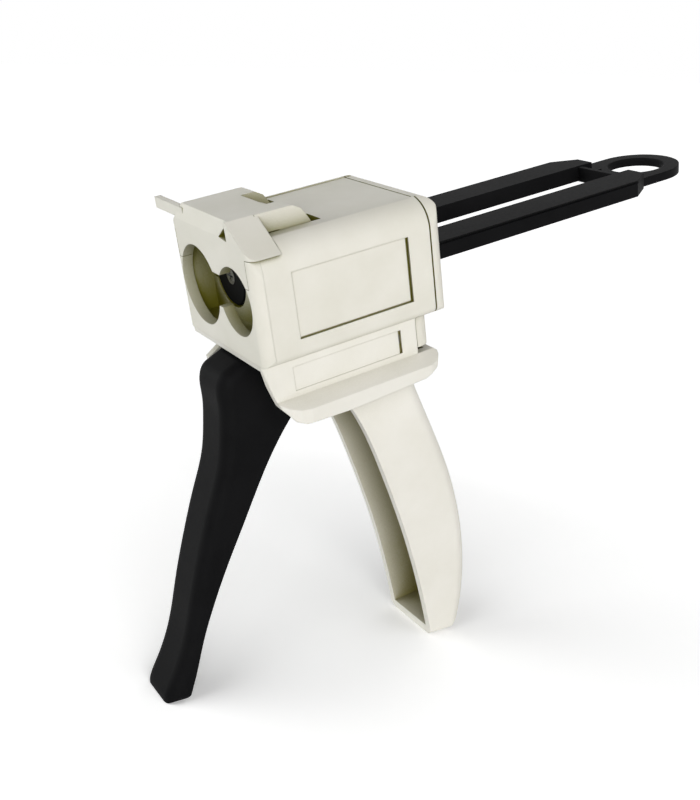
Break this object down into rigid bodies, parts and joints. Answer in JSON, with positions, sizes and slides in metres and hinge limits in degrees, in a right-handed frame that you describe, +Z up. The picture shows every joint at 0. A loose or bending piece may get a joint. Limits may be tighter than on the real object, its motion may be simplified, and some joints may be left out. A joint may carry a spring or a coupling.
{
  "type": "dental impression material dispensing gun",
  "caption": "Hand gun that squeezes twin-barrel cartridges: ivory body with lid and hollow grip, black trigger, toothed twin-rod plunger with a finger ring.",
  "frame": {"origin": "middle of the flat foot of the grip, on the table that the gun stands on", "axes": "+X to the side with the blank label panel seen in the picture, +Y to the rear of the gun (finger ring), +Z up; the barrel is tipped 11 degrees nose down, as it stands"},
  "size_m": [0.0653, 0.1937, 0.1619],
  "materials": {
    "ivory_plastic": "fine satin",
    "black_plastic": "satin",
    "steel": "satin",
    "bush_plastic": "smooth"
  },
  "bodies": {
    "frame": {"front_plate": "ivory_plastic", "cartridge_housing": "ivory_plastic", "rear_cap": "ivory_plastic", "rear_cap_screws": "steel", "handle_frame": "ivory_plastic", "housing_screws": "steel", "lid_hinge_pin": "steel", "trigger_pin": "steel", "holding_pawl_pin": "steel", "release_lever_pin": "steel", "holding_pawl_spring": "steel", "trigger_return_spring": "steel"},
    "plunger": {"plunger_rods": "black_plastic", "large_piston": "black_plastic", "small_piston": "black_plastic", "piston_screws": "steel"},
    "trigger": {"trigger": "black_plastic", "trigger_bushes": "bush_plastic", "drive_pawl_pin": "steel", "pawl_pin_clips": "steel", "drive_pawl_spring": "steel"},
    "drive_pawl": {"drive_pawl": "black_plastic"},
    "lid": {"cartridge_lid": "ivory_plastic"},
    "release_lever": {"release_lever": "ivory_plastic"},
    "holding_pawl": {"holding_pawl": "black_plastic"}
  },
  "joints": [
    {"name": "plunger_slide", "type": "slide", "parent": "frame", "child": "plunger", "axis": [0, -0.9816, -0.1908], "range_m": [0, 0.094]},
    {"name": "trigger_pivot", "type": "hinge", "parent": "frame", "child": "trigger", "pos_m": [0, -0.05298, 0.11011], "axis": [1, 0, 0], "range_deg": [0, 22], "stiffness_Nm_per_rad": 0.5, "springref_deg": -17.19},
    {"name": "lid_hinge", "type": "hinge", "parent": "frame", "child": "lid", "pos_m": [0, -0.06489, 0.14621], "axis": [-1, 0, 0], "range_deg": [0, 95]},
    {"name": "drive_pawl_pivot", "type": "hinge", "parent": "trigger", "child": "drive_pawl", "pos_m": [0, -0.04759, 0.1243], "axis": [1, 0, 0], "range_deg": [0, 10], "stiffness_Nm_per_rad": 0.01, "springref_deg": -11.46},
    {"name": "release_lever_pivot", "type": "hinge", "parent": "frame", "child": "release_lever", "pos_m": [0, -0.03247, 0.11461], "axis": [-1, 0, 0], "range_deg": [0, 4.5], "stiffness_Nm_per_rad": 0.1, "springref_deg": -11.46},
    {"name": "holding_pawl_pivot", "type": "hinge", "parent": "frame", "child": "holding_pawl", "pos_m": [0, -0.03611, 0.12551], "axis": [1, 0, 0], "range_deg": [0, 10]}
  ],
  "couplings": [
    {"joint": "holding_pawl_pivot", "follows": "release_lever_pivot", "ratio": 2.14}
  ]
}
